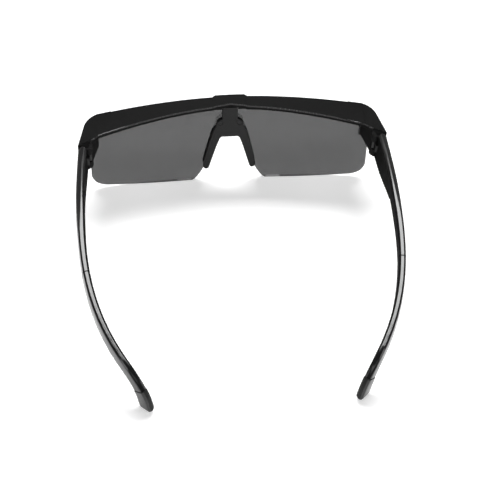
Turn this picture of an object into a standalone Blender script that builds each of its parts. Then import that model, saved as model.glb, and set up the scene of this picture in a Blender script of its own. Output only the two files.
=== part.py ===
"""Fit-over sunglasses, built as separate pieces with two folding temples.

Metres, +Z up. The pair stands on its lens feet and temple tips at z = 0, the wearer looks along +Y, and
the right-hand pieces lie at +X. Each temple hangs from an empty on its hinge axis, so folding it is a turn
of that empty about its own Z.
"""
import math

import bmesh
import bpy
from mathutils import Vector

MM = 0.001

# Clearances
FIT_GAP = 0.3 * MM            # between two pieces that seat on each other
CUT_OVERRUN = 1.0 * MM        # how far a cutter runs past the face it opens

# Front frame, seen from above
FRONT_HALF_WIDTH = 73.8 * MM  # centre to the outside of the end piece, at the hinge
HINGE_SETBACK = 20.3 * MM     # lens plane to the rear end of the front, along Y
FRONT_REACH = 4.1 * MM        # lens plane to the front edge, at the centre
FRONT_WRAP = 4.0 * MM         # how far the front edge falls back by the corner
CORNER_INSET = 9.8 * MM       # from the outside, where the rounded corner begins
CORNER_BEND_INSET = 4.7 * MM  # point that the rounded corner bends towards
CORNER_BEND_BACK = 1.6 * MM
SIDE_INSET = 3.1 * MM         # where the straight side begins
SIDE_BACK = 7.05 * MM
PAD_HALF_WIDTH = 7.1 * MM     # raised pad on the middle of the front edge
PAD_SLOPE = 1.4 * MM
PAD_FORWARD = 0.7 * MM
PAD_RISE = 0.5 * MM
BLOCK_LENGTH = 6.6 * MM       # thicker end block, inwards from the corner
BLOCK_SLOPE = 0.3 * MM
BLOCK_FORWARD = 0.35 * MM

# Front frame, heights
BROW_TOP = 52.0 * MM          # floor to the top of the front edge, at the centre
BROW_DROP = 6.0 * MM          # how much lower it is at the hinge
BROW_POWER = 1.8
SHELF_FALL = 1.3 * MM         # the shelf slopes down this much from its front to its rear edge
SHELF_THICKNESS = 1.8 * MM
EDGE_CHAMFER = 0.5 * MM
LIP_DEPTH = 7.0 * MM          # front lip below the top, above the lens
RAIL_DEPTH = 4.7 * MM         # rear rail behind the lens, below the top
BAR_THICKNESS = 5.2 * MM      # lip, lens groove and rear rail together
WALL_SHORTER = 0.5 * MM       # the end-piece wall stops this much above the temple's underside
WALL_SLANT = 5.0 * MM         # inner edge of the wall's underside, higher at the front
WALL_STEP = 0.2 * MM          # width of the step where the end-piece wall begins
WALL_CORNER_BACK = 5.5 * MM   # inside corner of the end-piece wall, behind the lens plane
WALL_THICKNESS = 4.8 * MM     # of the end-piece wall, at the hinge

# Rear edge of the shelf
SHELF_REAR = 2.2 * MM         # behind the lens plane, beside the centre peak
SHELF_DEEPEN = 12.0 * MM      # how much further back it is at the corner
SHELF_POWER = 1.6
PEAK_RISE = 1.0 * MM          # the edge peaks forward at the centre
PEAK_WIDTH = 3.5 * MM
SHELF_END_WIDTH = 5.6 * MM    # of the shelf, at the hinge
SHELF_END_AHEAD = 3.0 * MM    # its inner corner ends this far ahead of the outer one

# Lenses
LENS_THICKNESS = 1.8 * MM
LENS_CENTRE_Y = 1.6 * MM      # mid surface at the middle of the front
LENS_SAG = 3.7 * MM           # how far the mid surface falls back by its outer edge
LENS_OUTER_INSET = 7.4 * MM   # outer edge inside the end-piece groove, from the outside
LENS_EAR_INSET = 5.0 * MM     # outer edge below the end piece, from the outside
LENS_TUCK = 3.2 * MM          # top edge below the top of the brow
LENS_RISE = 3.0 * MM          # how much the bottom edge rises towards its outer end
LENS_FOOT_START = 18.5 * MM   # flat foot on the bottom edge
LENS_FOOT_END = 26.0 * MM
LENS_CORNER = 7.4 * MM        # radius of the lower outer corner
LENS_EAR_ROUND = 2.6 * MM     # radius at the top of the ear under the end piece
LENS_TOE_POWER = 1.5
NOSE_OVERLAP = 1.7 * MM       # how far the lens runs into the nose-bridge groove

# Nose bridge: half of its outline, down its outer side, then up the nose opening
BRIDGE_BACK = 1.5 * MM        # behind the lens plane
BRIDGE_THICKNESS = 4.8 * MM
EAR_DEPTH = 2.6 * MM          # the shoulders lie behind the lens only
EAR_STEP = 0.8 * MM           # inside the lens groove they fall to the front part
EAR_FRONT_SHARE = 0.4         # height left of them in front of the lens
BAR_HALF_WIDTH = 3.7 * MM
BRIDGE_TUCK = 3.0 * MM        # top of the bar below the top of the brow
EAR_BELOW_BROW = 10.8 * MM    # shoulders below the top of the brow
SHOULDER_HALF = 6.6 * MM
SHOULDER_DROP = 3.6 * MM
NOSE_TOP_SHARE = 0.585        # top of the nose opening, as a share of the brow's height
NOSE_TOP_HALF = 4.0 * MM
NOSE_TOP_ROUND = 0.9 * MM
LEG_HIGH_X, LEG_HIGH_SHARE = 8.5 * MM, 0.621
LEG_MIDDLE_X, LEG_MIDDLE_SHARE = 10.3 * MM, 0.481
LEG_LOW_X, LEG_LOW_SHARE = 13.2 * MM, 0.221
LEG_END_X, LEG_END_SHARE = 12.4 * MM, 0.185
LEG_TOE_X, LEG_TOE_SHARE = 10.6 * MM, 0.181
LEG_INNER_LOW_X, LEG_INNER_LOW_SHARE = 9.9 * MM, 0.221
LEG_INNER_HIGH_X, LEG_INNER_HIGH_SHARE = 6.7 * MM, 0.456

# Lens screws at the bridge shoulders
LENS_SCREW_X = 4.8 * MM
LENS_SCREW_DROP = 2.0 * MM    # below the shoulder
LENS_SCREW_RADIUS = 0.6 * MM
LENS_SCREW_HEAD = 1.0 * MM
LENS_SCREW_HEAD_HEIGHT = 0.6 * MM
LENS_SCREW_LENGTH = 3.9 * MM
LENS_SCREW_SLOT = 0.35 * MM

# Hinges: heights run down the hinge axis, from the top of the temple
HINGE_INSET = 4.6 * MM        # axis from the outside of the end piece
HINGE_AHEAD = 1.0 * MM        # axis in front of the butt joint
BARREL_RADIUS = 2.2 * MM
BARREL_DOWN = 1.8 * MM        # top of the barrel
BARREL_MARGIN = 2.6 * MM      # bottom of the barrel above the bottom of the temple
TOP_KNUCKLE = 5.2 * MM
TEMPLE_KNUCKLE = 5.2 * MM
WEB_DEPTH = 4.0 * MM          # how far the temple's knuckle runs back into it
HINGE_SCREW_RADIUS = 0.8 * MM
HINGE_SCREW_HEAD = 1.3 * MM
HINGE_SCREW_HEAD_HEIGHT = 0.8 * MM
HINGE_SCREW_RECESS = 0.2 * MM
HINGE_SCREW_SLOT = 0.4 * MM
HINGE_SCREW_CAP = 1.8 * MM    # plastic left above the screw's end
INSERT_RADIUS = 1.4 * MM      # brass thread insert in the top knuckle
INSERT_LENGTH = 3.0 * MM

# Temples, measured back from the hinge axis
TEMPLE_LENGTH = 144.2 * MM    # along its top edge, round the hook
TEMPLE_PROUD = 0.35 * MM      # outside of the temple beyond the end piece
TEMPLE_BOW = 1.55 * MM        # how far it bows out
BOW_LENGTH = 30.0 * MM
TEMPLE_CURL = 28.9 * MM       # how far the end curls in
CURL_POWER = 2.85
HOOK_START = 117.0 * MM
HOOK_RADIUS = 15.5 * MM       # of the top edge, round the ear
HOOK_ANGLE = 75               # degrees
SEAM = 70.5 * MM
TIP_LENGTH = 12.8 * MM
TIP_GROWTH = 0.2 * MM         # the tip stands this much proud of the sleeve
TIP_ROUND = 2.2 * MM
TIP_HEIGHT = 7.2 * MM

# Temple section
ROOT_HEIGHT = 20.0 * MM
ROOT_THICKNESS = 4.6 * MM
PANEL_END = 33.0 * MM         # the deep side panel ends here with a small notch
PANEL_END_HEIGHT = 10.2 * MM
NOTCH_LENGTH = 1.2 * MM
NOTCH_HEIGHT = 8.7 * MM
SEAM_HEIGHT = 8.0 * MM
SEAM_THICKNESS = 3.7 * MM
REAR_HEIGHT = 8.0 * MM
REAR_THICKNESS = 3.6 * MM
RIDGE_CHAMFER = 0.95 * MM
RIDGE_DROP_SHARE = 0.8        # of the chamfer's width
TOP_FLAT_FROM = 50.0 * MM     # behind here the section keeps its shape
# Outer line of the section, from the top round to the underside: shares of thickness and height
ROOT_SECTION_SHARES = ((0.6, 0), (0.3, 0.055), (0.12, 0.13), (0, 0.42), (0.04, 0.78), (0.3, 0.97))
REAR_SECTION_SHARES = ((0.36, 0), (0.16, 0.065), (0.1, 0.17), (0.05, 0.45), (0, 0.8), (0.22, 0.98))
PANEL_STATION_SHARES = (0, 0.35, 0.62, 1)
PANEL_DEPTH_SHARES = (1, 0.93, 0.6, 0)     # of the panel's extra depth
REAR_HEIGHT_SHARE = 0.6
REAR_THICKNESS_SHARE = 0.7

# Core strip inside the temple
CORE_THICKNESS = 0.7 * MM
CORE_HEIGHT = 2.0 * MM
CORE_LEAD = 18.5 * MM         # runs this far forward of the seam
CORE_STOP = 6.0 * MM          # from the end of the temple
CORE_DOWN_SHARE = 0.48

# Holes left by the pins that hold the core while the sleeve is moulded
PIN_HOLES = 5
PIN_HOLE_LEAD = 9.0 * MM      # first hole, behind the seam
PIN_HOLE_PITCH = 10.5 * MM
PIN_HOLE_RADIUS = 0.6 * MM
PIN_HOLE_DEPTH = 0.7 * MM
PIN_HOLE_DOWN_SHARE = 0.78

# Roundness
ROUND_STEPS = 24
SMALL_STEPS = 16

SIDES = {"right": 1, "left": -1}

# Places that follow from the sizes above
CORNER_X = FRONT_HALF_WIDTH - CORNER_INSET
BLOCK_X = CORNER_X - BLOCK_LENGTH
SHELF_END_X = FRONT_HALF_WIDTH - SHELF_END_WIDTH
WALL_END_X = FRONT_HALF_WIDTH - WALL_THICKNESS
LENS_OUTER_X = FRONT_HALF_WIDTH - LENS_OUTER_INSET
LENS_EAR_X = FRONT_HALF_WIDTH - LENS_EAR_INSET
HINGE_X = FRONT_HALF_WIDTH - HINGE_INSET
HINGE_Y = HINGE_AHEAD - HINGE_SETBACK
HINGE_Z = BROW_TOP - BROW_DROP
WALL_BOTTOM = HINGE_Z - ROOT_HEIGHT + WALL_SHORTER
BRIDGE_BACK_Y = -BRIDGE_BACK
BRIDGE_FRONT_Y = BRIDGE_THICKNESS - BRIDGE_BACK
EAR_TOP = BROW_TOP - EAR_BELOW_BROW
SHOULDER = (SHOULDER_HALF, EAR_TOP - SHOULDER_DROP)
NOSE_TOP_Z = NOSE_TOP_SHARE * BROW_TOP
LEG_HIGH = (LEG_HIGH_X, LEG_HIGH_SHARE * BROW_TOP)
LEG_MIDDLE = (LEG_MIDDLE_X, LEG_MIDDLE_SHARE * BROW_TOP)
LEG_LOW = (LEG_LOW_X, LEG_LOW_SHARE * BROW_TOP)
LEG_END = (LEG_END_X, LEG_END_SHARE * BROW_TOP)
LEG_TOE = (LEG_TOE_X, LEG_TOE_SHARE * BROW_TOP)
LEG_INNER_LOW = (LEG_INNER_LOW_X, LEG_INNER_LOW_SHARE * BROW_TOP)
LEG_INNER_HIGH = (LEG_INNER_HIGH_X, LEG_INNER_HIGH_SHARE * BROW_TOP)
LENS_SCREW_Z = EAR_TOP - LENS_SCREW_DROP
LENS_SCREW_END = BRIDGE_BACK_Y + LENS_SCREW_LENGTH
BARREL_TOP = -BARREL_DOWN
BARREL_BOTTOM = BARREL_MARGIN - ROOT_HEIGHT
KNUCKLE_TOP = BARREL_TOP - TOP_KNUCKLE
KNUCKLE_BOTTOM = KNUCKLE_TOP - TEMPLE_KNUCKLE
HINGE_SCREW_END = BARREL_TOP - HINGE_SCREW_CAP
BUTT = HINGE_AHEAD + FIT_GAP
TEMPLE_START_OUT = HINGE_INSET + TEMPLE_PROUD
TIP_START = TEMPLE_LENGTH - TIP_LENGTH
CORE_START = SEAM - CORE_LEAD
CORE_END = TEMPLE_LENGTH - CORE_STOP


def clear_scene():
    for obj in list(bpy.data.objects):
        bpy.data.objects.remove(obj, do_unlink=True)
    for mesh in list(bpy.data.meshes):
        bpy.data.meshes.remove(mesh)


def make_material(name, colour, roughness, metallic=0.0, alpha=1.0, coat=0.0):
    material = bpy.data.materials.new(name)
    material.use_nodes = True
    shader = material.node_tree.nodes["Principled BSDF"]
    shader.inputs["Base Color"].default_value = (*colour, 1.0)
    shader.inputs["Roughness"].default_value = roughness
    shader.inputs["Metallic"].default_value = metallic
    shader.inputs["Alpha"].default_value = alpha
    shader.inputs["Coat Weight"].default_value = coat
    material.diffuse_color = (*colour, alpha)
    return material


def add_object(name, bm, material, parent=None, smooth_angle=None):
    """Turn a bmesh into a named object with outward-facing normals."""
    bmesh.ops.remove_doubles(bm, verts=bm.verts, dist=FIT_GAP / 100)
    bmesh.ops.recalc_face_normals(bm, faces=bm.faces)
    mesh = bpy.data.meshes.new(name)
    bm.to_mesh(mesh)
    bm.free()
    obj = bpy.data.objects.new(name, mesh)
    bpy.context.scene.collection.objects.link(obj)
    mesh.materials.append(material)
    obj.parent = parent
    if smooth_angle is not None:
        mesh.shade_smooth()
        mesh.set_sharp_from_angle(angle=smooth_angle)
    return obj


def add_empty(name, location, rotation=(0, 0, 0), parent=None):
    empty = bpy.data.objects.new(name, None)
    bpy.context.scene.collection.objects.link(empty)
    empty.empty_display_size = ROOT_HEIGHT
    empty.location = location
    empty.rotation_euler = rotation
    empty.parent = parent
    return empty


def loft(bm, rings):
    """Closed solid through a list of rings with the same number of points."""
    made = [[bm.verts.new(point) for point in ring] for ring in rings]
    count = len(rings[0])
    for one, two in zip(made, made[1:]):
        for k in range(count):
            nxt = (k + 1) % count
            bm.faces.new((one[k], one[nxt], two[nxt], two[k]))
    bm.faces.new(made[0])
    bm.faces.new(made[-1])


def lathe(bm, profile, steps, place=lambda p: p):
    """Closed solid of revolution about Z; the profile is (radius, height) from one end to the other."""
    rings = []
    for radius, height in profile:
        if radius == 0:
            rings.append([bm.verts.new(place(Vector((0, 0, height))))])
            continue
        ring = []
        for k in range(steps):
            angle = 2 * math.pi * k / steps
            point = Vector((radius * math.cos(angle), radius * math.sin(angle), height))
            ring.append(bm.verts.new(place(point)))
        rings.append(ring)
    for one, two in zip(rings, rings[1:]):
        for k in range(steps):
            nxt = (k + 1) % steps
            if len(one) == 1:
                bm.faces.new((one[0], two[nxt], two[k]))
            elif len(two) == 1:
                bm.faces.new((one[k], one[nxt], two[0]))
            else:
                bm.faces.new((one[k], one[nxt], two[nxt], two[k]))


def box(bm, low, high):
    corners = [(low[0], low[1]), (high[0], low[1]), (high[0], high[1]), (low[0], high[1])]
    loft(bm, [[Vector((x, y, z)) for x, y in corners] for z in (low[2], high[2])])


def boolean(obj, operation, tool, solver="EXACT"):
    """Cut or join with a tool that stays hidden."""
    tool.hide_render = True
    tool.display_type = "WIRE"
    modifier = obj.modifiers.new(tool.name, "BOOLEAN")
    modifier.operation = operation
    modifier.solver = solver
    modifier.object = tool


def mix(low, high, share):
    return low + (high - low) * share


def between(points, s):
    """Piecewise straight value at s through (position, value) points."""
    if s <= points[0][0]:
        return points[0][1]
    for (s0, v0), (s1, v1) in zip(points, points[1:]):
        if s <= s1:
            return mix(v0, v1, (s - s0) / (s1 - s0))
    return points[-1][1]


def spaced(start, end, count):
    return [mix(start, end, k / (count - 1)) for k in range(count)]


# The temple's shape, on its hinge's own axes: x out from the axis, y back is negative, z up


def temple_side(s):
    """Reach and drop of the top edge at s along it: straight, then round the hook, then straight."""
    if s <= HOOK_START:
        return s, 0.0
    turn = min((s - HOOK_START) / HOOK_RADIUS, math.radians(HOOK_ANGLE))
    rest = max(0.0, s - HOOK_START - HOOK_RADIUS * math.radians(HOOK_ANGLE))
    reach = HOOK_START + HOOK_RADIUS * math.sin(turn) + rest * math.cos(turn)
    drop = HOOK_RADIUS * (1 - math.cos(turn)) + rest * math.sin(turn)
    return reach, drop


def temple_out(reach):
    """How far the outer face is from the axis."""
    if reach < BOW_LENGTH:
        return TEMPLE_START_OUT + TEMPLE_BOW * math.sin(0.5 * math.pi * reach / BOW_LENGTH)
    share = (reach - BOW_LENGTH) / (temple_side(TEMPLE_LENGTH)[0] - BOW_LENGTH)
    return TEMPLE_START_OUT + TEMPLE_BOW - TEMPLE_CURL * share ** CURL_POWER


def temple_line(s):
    reach, drop = temple_side(s)
    return Vector((temple_out(reach), -reach, -drop))


def temple_height(s):
    panel = [
        (share * PANEL_END, mix(PANEL_END_HEIGHT, ROOT_HEIGHT, depth))
        for share, depth in zip(PANEL_STATION_SHARES, PANEL_DEPTH_SHARES)
    ]
    return between(panel + [
        (PANEL_END + NOTCH_LENGTH, NOTCH_HEIGHT), (SEAM, SEAM_HEIGHT),
        (mix(SEAM, TIP_START, REAR_HEIGHT_SHARE), REAR_HEIGHT), (TIP_START, TIP_HEIGHT),
    ], s)


def temple_thickness(s):
    rear = mix(SEAM, TIP_START, REAR_THICKNESS_SHARE)
    return between([(0, ROOT_THICKNESS), (SEAM, SEAM_THICKNESS), (rear, REAR_THICKNESS)], s)


def temple_axes(s):
    """Outer top line of the temple and its own directions: outward, up and back."""
    here = temple_line(s)
    back = (temple_line(s + FIT_GAP) - here).normalized()
    reach, _ = temple_side(s)
    slope = (temple_out(reach + FIT_GAP) - temple_out(reach)) / FIT_GAP
    outward = Vector((1, slope, 0)).normalized()
    up = back.cross(outward).normalized()
    outward = up.cross(back).normalized()
    return here, outward, up, back


def temple_point(s, across, down):
    """Point of the section at s: across is inwards from the outer face, down is below the top."""
    here, outward, up, _ = temple_axes(s)
    return here - outward * across - up * down


def temple_ring(side, s, grow=0.0):
    """Flat inside, a narrow flat along the top with a chamfer on its inner side, and a rounded outside."""
    t = temple_thickness(s) + 2 * grow
    h = temple_height(s) + 2 * grow
    c = min(RIDGE_CHAMFER, 0.3 * t)
    flat = min(1.0, s / TOP_FLAT_FROM)
    outside = [
        (mix(root_across, across, flat) * t, mix(root_down, down, flat) * h)
        for (root_across, root_down), (across, down) in zip(ROOT_SECTION_SHARES, REAR_SECTION_SHARES)
    ]
    section = [(t - c, 0)] + outside + [(t - c, h), (t, h - c), (t, RIDGE_DROP_SHARE * c)]
    points = [temple_point(s, across - grow, down - grow) for across, down in section]
    return [Vector((side * p.x, p.y, p.z)) for p in points]


def temple_stations(start, end):
    """Stations along the temple, closer together round the hook."""
    hook_end = HOOK_START + HOOK_RADIUS * math.radians(HOOK_ANGLE)
    close, wide = 0.15 * HOOK_RADIUS, 0.4 * HOOK_RADIUS
    stations = [start]
    while True:
        bending = HOOK_START - wide < stations[-1] < hook_end
        step = close if bending else wide
        if stations[-1] + 1.4 * step > end:
            return stations + [end]
        stations.append(stations[-1] + step)


def tip_rings(side):
    """The tip is a little proud of the sleeve, and rounded at its end."""
    start = TIP_START + 0.5 * FIT_GAP
    round_start = TEMPLE_LENGTH - TIP_ROUND
    rings = [temple_ring(side, s, TIP_GROWTH) for s in temple_stations(start, round_start)]
    for angle in (30, 60, 90):
        along = TIP_ROUND * math.sin(math.radians(angle))
        inset = 0.5 * TIP_ROUND * (1 - math.cos(math.radians(angle)))
        rings.append(temple_ring(side, round_start + along, TIP_GROWTH - inset))
    return rings


def slot_stations(start, end):
    """Stretch of the core's own path that covers start to end, with the clearance at its ends."""
    path = temple_stations(CORE_START, CORE_END)
    path[0] -= FIT_GAP
    path[-1] += FIT_GAP
    first = max([k for k, s in enumerate(path) if s <= start], default=0)
    last = min([k for k, s in enumerate(path) if s >= end], default=len(path) - 1)
    return path[first:last + 1]


def core_ring(side, s, grow=0.0):
    """Section of the flat core strip, in the middle of the temple."""
    half_across = 0.5 * CORE_THICKNESS + grow
    half_down = 0.5 * CORE_HEIGHT + grow
    across = 0.5 * temple_thickness(s)
    down = CORE_DOWN_SHARE * temple_height(s)
    corners = [(-half_across, -half_down), (half_across, -half_down),
               (half_across, half_down), (-half_across, half_down)]
    points = [temple_point(s, across + a, down + d) for a, d in corners]
    return [Vector((side * p.x, p.y, p.z)) for p in points]


def stance_lean():
    """Angle by which the temples slope down so that their tips just reach the floor."""
    points = [p for ring in tip_rings(1) for p in ring]
    low, high = 0.0, math.radians(45)
    while high - low > math.radians(1) / 10 ** 4:
        lean = 0.5 * (low + high)
        lowest = min(p.y * math.sin(lean) + p.z * math.cos(lean) for p in points)
        if HINGE_Z + lowest > 0:
            low = lean
        else:
            high = lean
    return low


LEAN = stance_lean()


# The front's shape


def brow_top(x):
    return BROW_TOP - BROW_DROP * (min(abs(x), FRONT_HALF_WIDTH) / FRONT_HALF_WIDTH) ** BROW_POWER


def pad_share(x):
    """1 on the raised centre pad, 0 beside it."""
    return max(0.0, min(1.0, (PAD_HALF_WIDTH + PAD_SLOPE - abs(x)) / PAD_SLOPE))


def block_share(x):
    """1 on the thicker end blocks, 0 between them."""
    return max(0.0, min(1.0, (abs(x) - BLOCK_X) / BLOCK_SLOPE))


def front_edge(x):
    plain = FRONT_REACH - FRONT_WRAP * (x / CORNER_X) ** 2
    return plain + PAD_FORWARD * pad_share(x) + BLOCK_FORWARD * block_share(x)


def shelf_rear(x):
    peak = PEAK_RISE * math.exp(-(x / PEAK_WIDTH) ** 2)
    return peak - SHELF_REAR - SHELF_DEEPEN * (abs(x) / CORNER_X) ** SHELF_POWER


def lens_mid(x):
    return LENS_CENTRE_Y - LENS_SAG * (x / LENS_OUTER_X) ** 2


def brow_ring(outer, wall, inner, top, rear_top, bottom, rail, lean_share):
    """One section of the front: lip and wall at the outside, shelf towards the wearer."""
    outer, wall, inner = Vector(outer), Vector(wall), Vector(inner)
    outward = (outer - inner).normalized() * EDGE_CHAMFER
    points = [
        (outer - outward, bottom), (outer, bottom + EDGE_CHAMFER), (outer, top - EDGE_CHAMFER),
        (outer - outward, top), (inner + outward, rear_top), (inner, rear_top - EDGE_CHAMFER),
        (inner, rear_top - SHELF_THICKNESS), (wall, rear_top - SHELF_THICKNESS), (wall, rail),
    ]
    lean = math.tan(LEAN) * lean_share
    return [Vector((p.x, p.y + lean * (top - z), z)) for p, z in points]


def corner_point(t):
    """The rounded outer corner, from the front edge to the straight side."""
    start = Vector((CORNER_X + WALL_STEP, front_edge(CORNER_X)))
    bend = Vector((FRONT_HALF_WIDTH - CORNER_BEND_INSET, start.y - CORNER_BEND_BACK))
    end = Vector((FRONT_HALF_WIDTH - SIDE_INSET, start.y - SIDE_BACK))
    return start * (1 - t) ** 2 + bend * (2 * t * (1 - t)) + end * t ** 2


def half_brow():
    """Sections of the right half, from the centre to the hinge."""
    pad_end = PAD_HALF_WIDTH + PAD_SLOPE
    stations = [0, PEAK_WIDTH, PAD_HALF_WIDTH] + spaced(pad_end, BLOCK_X, 8)
    stations += [BLOCK_X + BLOCK_SLOPE, mix(BLOCK_X, CORNER_X, 0.5), CORNER_X]
    rings = []
    for x in stations:
        top = brow_top(x) + PAD_RISE * pad_share(x)
        outer = (x, front_edge(x))
        wall = (x, front_edge(x) - PAD_FORWARD * pad_share(x) - BAR_THICKNESS)
        inner = (x, shelf_rear(x))
        rings.append(brow_ring(outer, wall, inner, top, top - SHELF_FALL, top - LIP_DEPTH,
                               top - RAIL_DEPTH, 0))

    start_x = CORNER_X + WALL_STEP
    side_start = corner_point(1)
    corner_steps, side_steps = 5, 3
    for k in range(corner_steps + side_steps + 1):
        if k <= corner_steps:
            outer = corner_point(k / corner_steps)
        else:
            side_end = Vector((FRONT_HALF_WIDTH, -HINGE_SETBACK))
            outer = mix(side_start, side_end, (k - corner_steps) / side_steps)
        along = k / (corner_steps + side_steps)
        wall = (mix(start_x, WALL_END_X, along), mix(-WALL_CORNER_BACK, -HINGE_SETBACK, along))
        inner_end = SHELF_END_AHEAD - HINGE_SETBACK
        inner = (mix(start_x, SHELF_END_X, along), mix(shelf_rear(start_x), inner_end, along))
        top = brow_top(outer.x)
        fall = SHELF_FALL * (1 - along ** 2)
        rail = WALL_BOTTOM + WALL_SLANT * (1 - along)
        rings.append(brow_ring(outer, wall, inner, top, top - fall, WALL_BOTTOM, rail, along))
    return rings


def mirrored(ring):
    return [Vector((-p.x, p.y, p.z)) for p in ring]


def lens_inner_side():
    """Inner edge of the lens from its top down, inside the groove of the nose bridge."""
    places = [(BAR_HALF_WIDTH, EAR_TOP), SHOULDER, LEG_HIGH, LEG_MIDDLE, LEG_LOW]
    return [(x - NOSE_OVERLAP, z) for x, z in places]


def lens_low(x):
    """Bottom of the right lens at x."""
    side = lens_inner_side()
    toe_x, toe_z = side[-1]
    if x < toe_x:
        return between(side, x)
    if x < LENS_FOOT_START:
        return toe_z * ((LENS_FOOT_START - x) / (LENS_FOOT_START - toe_x)) ** LENS_TOE_POWER
    rise = (max(x, LENS_FOOT_END) - LENS_FOOT_END) / (LENS_OUTER_X - LENS_FOOT_END)
    low = LENS_RISE * rise ** 2
    across = (x - (LENS_EAR_X - LENS_CORNER)) / LENS_CORNER
    if across > 0:
        low += LENS_CORNER * (1 - math.sqrt(max(0.0, 1 - across ** 2)))
    return low


def lens_high(x):
    """Top of the right lens at x."""
    if x <= LENS_OUTER_X:
        return brow_top(x) - LENS_TUCK
    across = (x - LENS_OUTER_X) / (LENS_EAR_X - LENS_OUTER_X)
    return WALL_BOTTOM - 2 * FIT_GAP - LENS_EAR_ROUND * (1 - math.sqrt(max(0.0, 1 - across ** 2)))


def lens_stations():
    side = [x for x, _ in lens_inner_side()]
    toe_x = side[-1]
    stations = side[:-1] + spaced(toe_x, LENS_FOOT_START, 6) + [LENS_FOOT_END]
    corner_x = LENS_EAR_X - LENS_CORNER
    stations += spaced(LENS_FOOT_END, corner_x, 7)[1:]
    stations += [mix(corner_x, LENS_OUTER_X, share) for share in (0.4, 0.75, 1.0)]
    stations.append(LENS_OUTER_X + FIT_GAP / 10)
    stations += [mix(LENS_OUTER_X, LENS_EAR_X, share) for share in (0.45, 0.8, 0.96)]
    return stations


def lens_ring(side, x, low, high, half):
    y = lens_mid(x)
    ring = [(x, y - half, low), (x, y + half, low), (x, y + half, high), (x, y - half, high)]
    return [Vector((side * a, b, c)) for a, b, c in ring]


def lens_rings(side):
    return [lens_ring(side, x, lens_low(x), lens_high(x), 0.5 * LENS_THICKNESS) for x in lens_stations()]


def groove_rings(side):
    """The lens groove: the lens grown by the clearance, square-ended inside the end-piece wall."""
    half = 0.5 * LENS_THICKNESS + FIT_GAP
    rings = []
    for k, x in enumerate(lens_stations()):
        if x > LENS_OUTER_X:
            break
        low = lens_low(x) - FIT_GAP
        x -= FIT_GAP if k == 0 else 0
        rings.append(lens_ring(side, x, low, lens_high(x) + FIT_GAP, half))
    end_x = LENS_OUTER_X + FIT_GAP
    rings.append(lens_ring(side, end_x, lens_low(LENS_OUTER_X), lens_high(LENS_OUTER_X) + FIT_GAP, half))
    return rings


def bridge_outline(height_share=1.0):
    """Outline of the nose bridge, from the top right round to the top left. The share is what is
    left of the shoulders' height above the legs."""
    top = BROW_TOP - BRIDGE_TUCK
    shoulders = [
        (BAR_HALF_WIDTH, EAR_TOP + EDGE_CHAMFER), (LENS_SCREW_X, EAR_TOP),
        (SHOULDER_HALF, EAR_TOP - 0.5 * SHOULDER_DROP), SHOULDER,
    ]
    half = [(BAR_HALF_WIDTH, top)] + [(x, mix(LEG_HIGH[1], z, height_share)) for x, z in shoulders] + [
        LEG_HIGH, LEG_MIDDLE, LEG_LOW, LEG_END, LEG_TOE, LEG_INNER_LOW, LEG_INNER_HIGH,
        (NOSE_TOP_HALF + NOSE_TOP_ROUND, NOSE_TOP_Z - NOSE_TOP_ROUND), (NOSE_TOP_HALF, NOSE_TOP_Z),
    ]
    return half + [(-x, z) for x, z in reversed(half)]


def hinge_place(side):
    """Maps a point on the right hinge's own axes to the front, on either side."""
    def place(p):
        y = p.y * math.cos(LEAN) - p.z * math.sin(LEAN)
        z = p.y * math.sin(LEAN) + p.z * math.cos(LEAN)
        return Vector((side * (HINGE_X + p.x), HINGE_Y + y, HINGE_Z + z))
    return place


def along_y(x, z):
    """Maps a lathe's own Z to Y, at the given x and z."""
    return lambda p: Vector((x + p.x, p.z, z + p.y))


# Pieces


def make_front(finish):
    right = half_brow()
    bm = bmesh.new()
    loft(bm, [mirrored(ring) for ring in reversed(right[1:])] + right)
    frame = add_object("brow_frame", bm, finish, smooth_angle=math.radians(28))

    grooves = bmesh.new()
    for side in SIDES.values():
        loft(grooves, groove_rings(side))
    boolean(frame, "DIFFERENCE", add_object("frame_grooves_tool", grooves, finish))

    socket = bmesh.new()
    across = BAR_HALF_WIDTH + FIT_GAP
    box(socket, (-across, BRIDGE_BACK_Y - CUT_OVERRUN, EAR_TOP),
        (across, BRIDGE_FRONT_Y + FIT_GAP, BROW_TOP - BRIDGE_TUCK + FIT_GAP))
    boolean(frame, "DIFFERENCE", add_object("frame_socket_tool", socket, finish))

    bore = HINGE_SCREW_RADIUS + FIT_GAP
    relief = BARREL_RADIUS + FIT_GAP
    head = HINGE_SCREW_HEAD + FIT_GAP
    seat = BARREL_BOTTOM + HINGE_SCREW_RECESS + HINGE_SCREW_HEAD_HEIGHT + FIT_GAP
    insert = INSERT_RADIUS + FIT_GAP
    insert_top = KNUCKLE_TOP + 2 * FIT_GAP + INSERT_LENGTH
    barrels = bmesh.new()
    cuts = bmesh.new()
    for side in SIDES.values():
        place = hinge_place(side)
        lathe(barrels, [(0, BARREL_BOTTOM), (BARREL_RADIUS, BARREL_BOTTOM), (BARREL_RADIUS, BARREL_TOP),
                        (0, BARREL_TOP)], ROUND_STEPS, place)
        lathe(cuts, [
            (0, BARREL_BOTTOM - CUT_OVERRUN), (head, BARREL_BOTTOM - CUT_OVERRUN), (head, seat),
            (bore, seat), (bore, KNUCKLE_BOTTOM - FIT_GAP), (relief, KNUCKLE_BOTTOM - FIT_GAP),
            (relief, KNUCKLE_TOP + FIT_GAP), (insert, KNUCKLE_TOP + FIT_GAP), (insert, insert_top),
            (bore, insert_top), (bore, HINGE_SCREW_END + FIT_GAP), (0, HINGE_SCREW_END + FIT_GAP),
        ], ROUND_STEPS, place)
    boolean(frame, "UNION", add_object("frame_barrels_tool", barrels, finish), "MANIFOLD")
    boolean(frame, "DIFFERENCE", add_object("frame_bores_tool", cuts, finish), "MANIFOLD")
    return frame


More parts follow.
